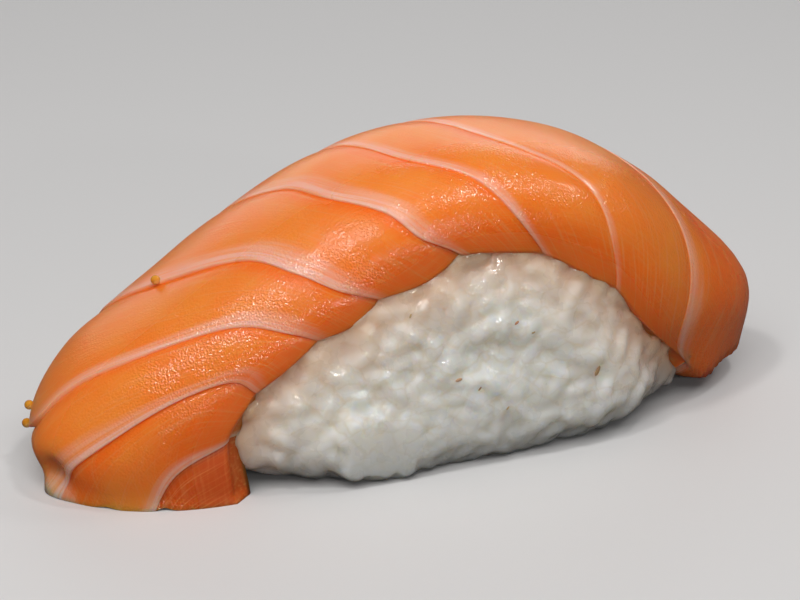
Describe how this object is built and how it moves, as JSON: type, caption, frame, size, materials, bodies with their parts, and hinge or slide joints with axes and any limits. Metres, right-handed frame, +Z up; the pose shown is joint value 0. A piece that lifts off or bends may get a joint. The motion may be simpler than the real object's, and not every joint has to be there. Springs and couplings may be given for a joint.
{
  "type": "salmon nigiri",
  "caption": "Hand-pressed sushi rice block under a draped slice of raw salmon with pale fat lines, as served by the piece.",
  "frame": {"origin": "centre of the bounding box at board level", "axes": "+Z up, +X along the slice towards the end that hangs free, -Y towards the side where the rice shows"},
  "size_m": [0.086, 0.031, 0.033],
  "materials": {
    "rice": "cooked short-grain rice, pressed, moist and slightly translucent, with small glints on the grains",
    "salmon": "raw salmon flesh, moist and translucent, with pale pink fat lines and a fine speckled sheen",
    "roe": "translucent amber beads of small fish roe"
  },
  "bodies": {
    "root": {"rice": "rice", "salmon_slice": "salmon"}
  },
  "joints": []
}
